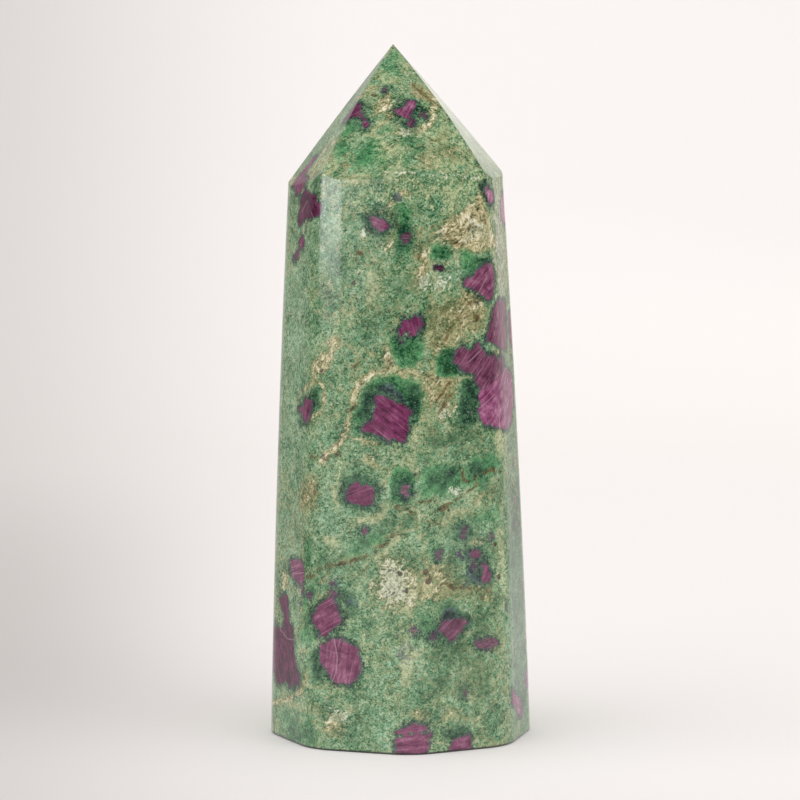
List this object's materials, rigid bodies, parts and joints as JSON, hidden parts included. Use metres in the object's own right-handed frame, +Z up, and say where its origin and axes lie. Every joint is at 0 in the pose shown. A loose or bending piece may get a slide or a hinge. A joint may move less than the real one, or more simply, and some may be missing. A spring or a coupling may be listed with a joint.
{
  "type": "ruby fuchsite point",
  "caption": "Polished crystal tower of green fuchsite with magenta ruby inclusions: tall tapering faces with rounded edges, a flat foot and a sharp point.",
  "frame": {"origin": "middle of the flat foot, at the level of the surface that the stone stands on", "axes": "+Z up through the stone to its point; -Y is the front, near the middle of which one upright edge runs; +X is to the right as seen from the front"},
  "size_m": [0.0646, 0.0639, 0.17],
  "materials": {
    "ruby_fuchsite": "polished"
  },
  "bodies": {
    "root": {"stone_tower": "ruby_fuchsite"}
  },
  "joints": []
}
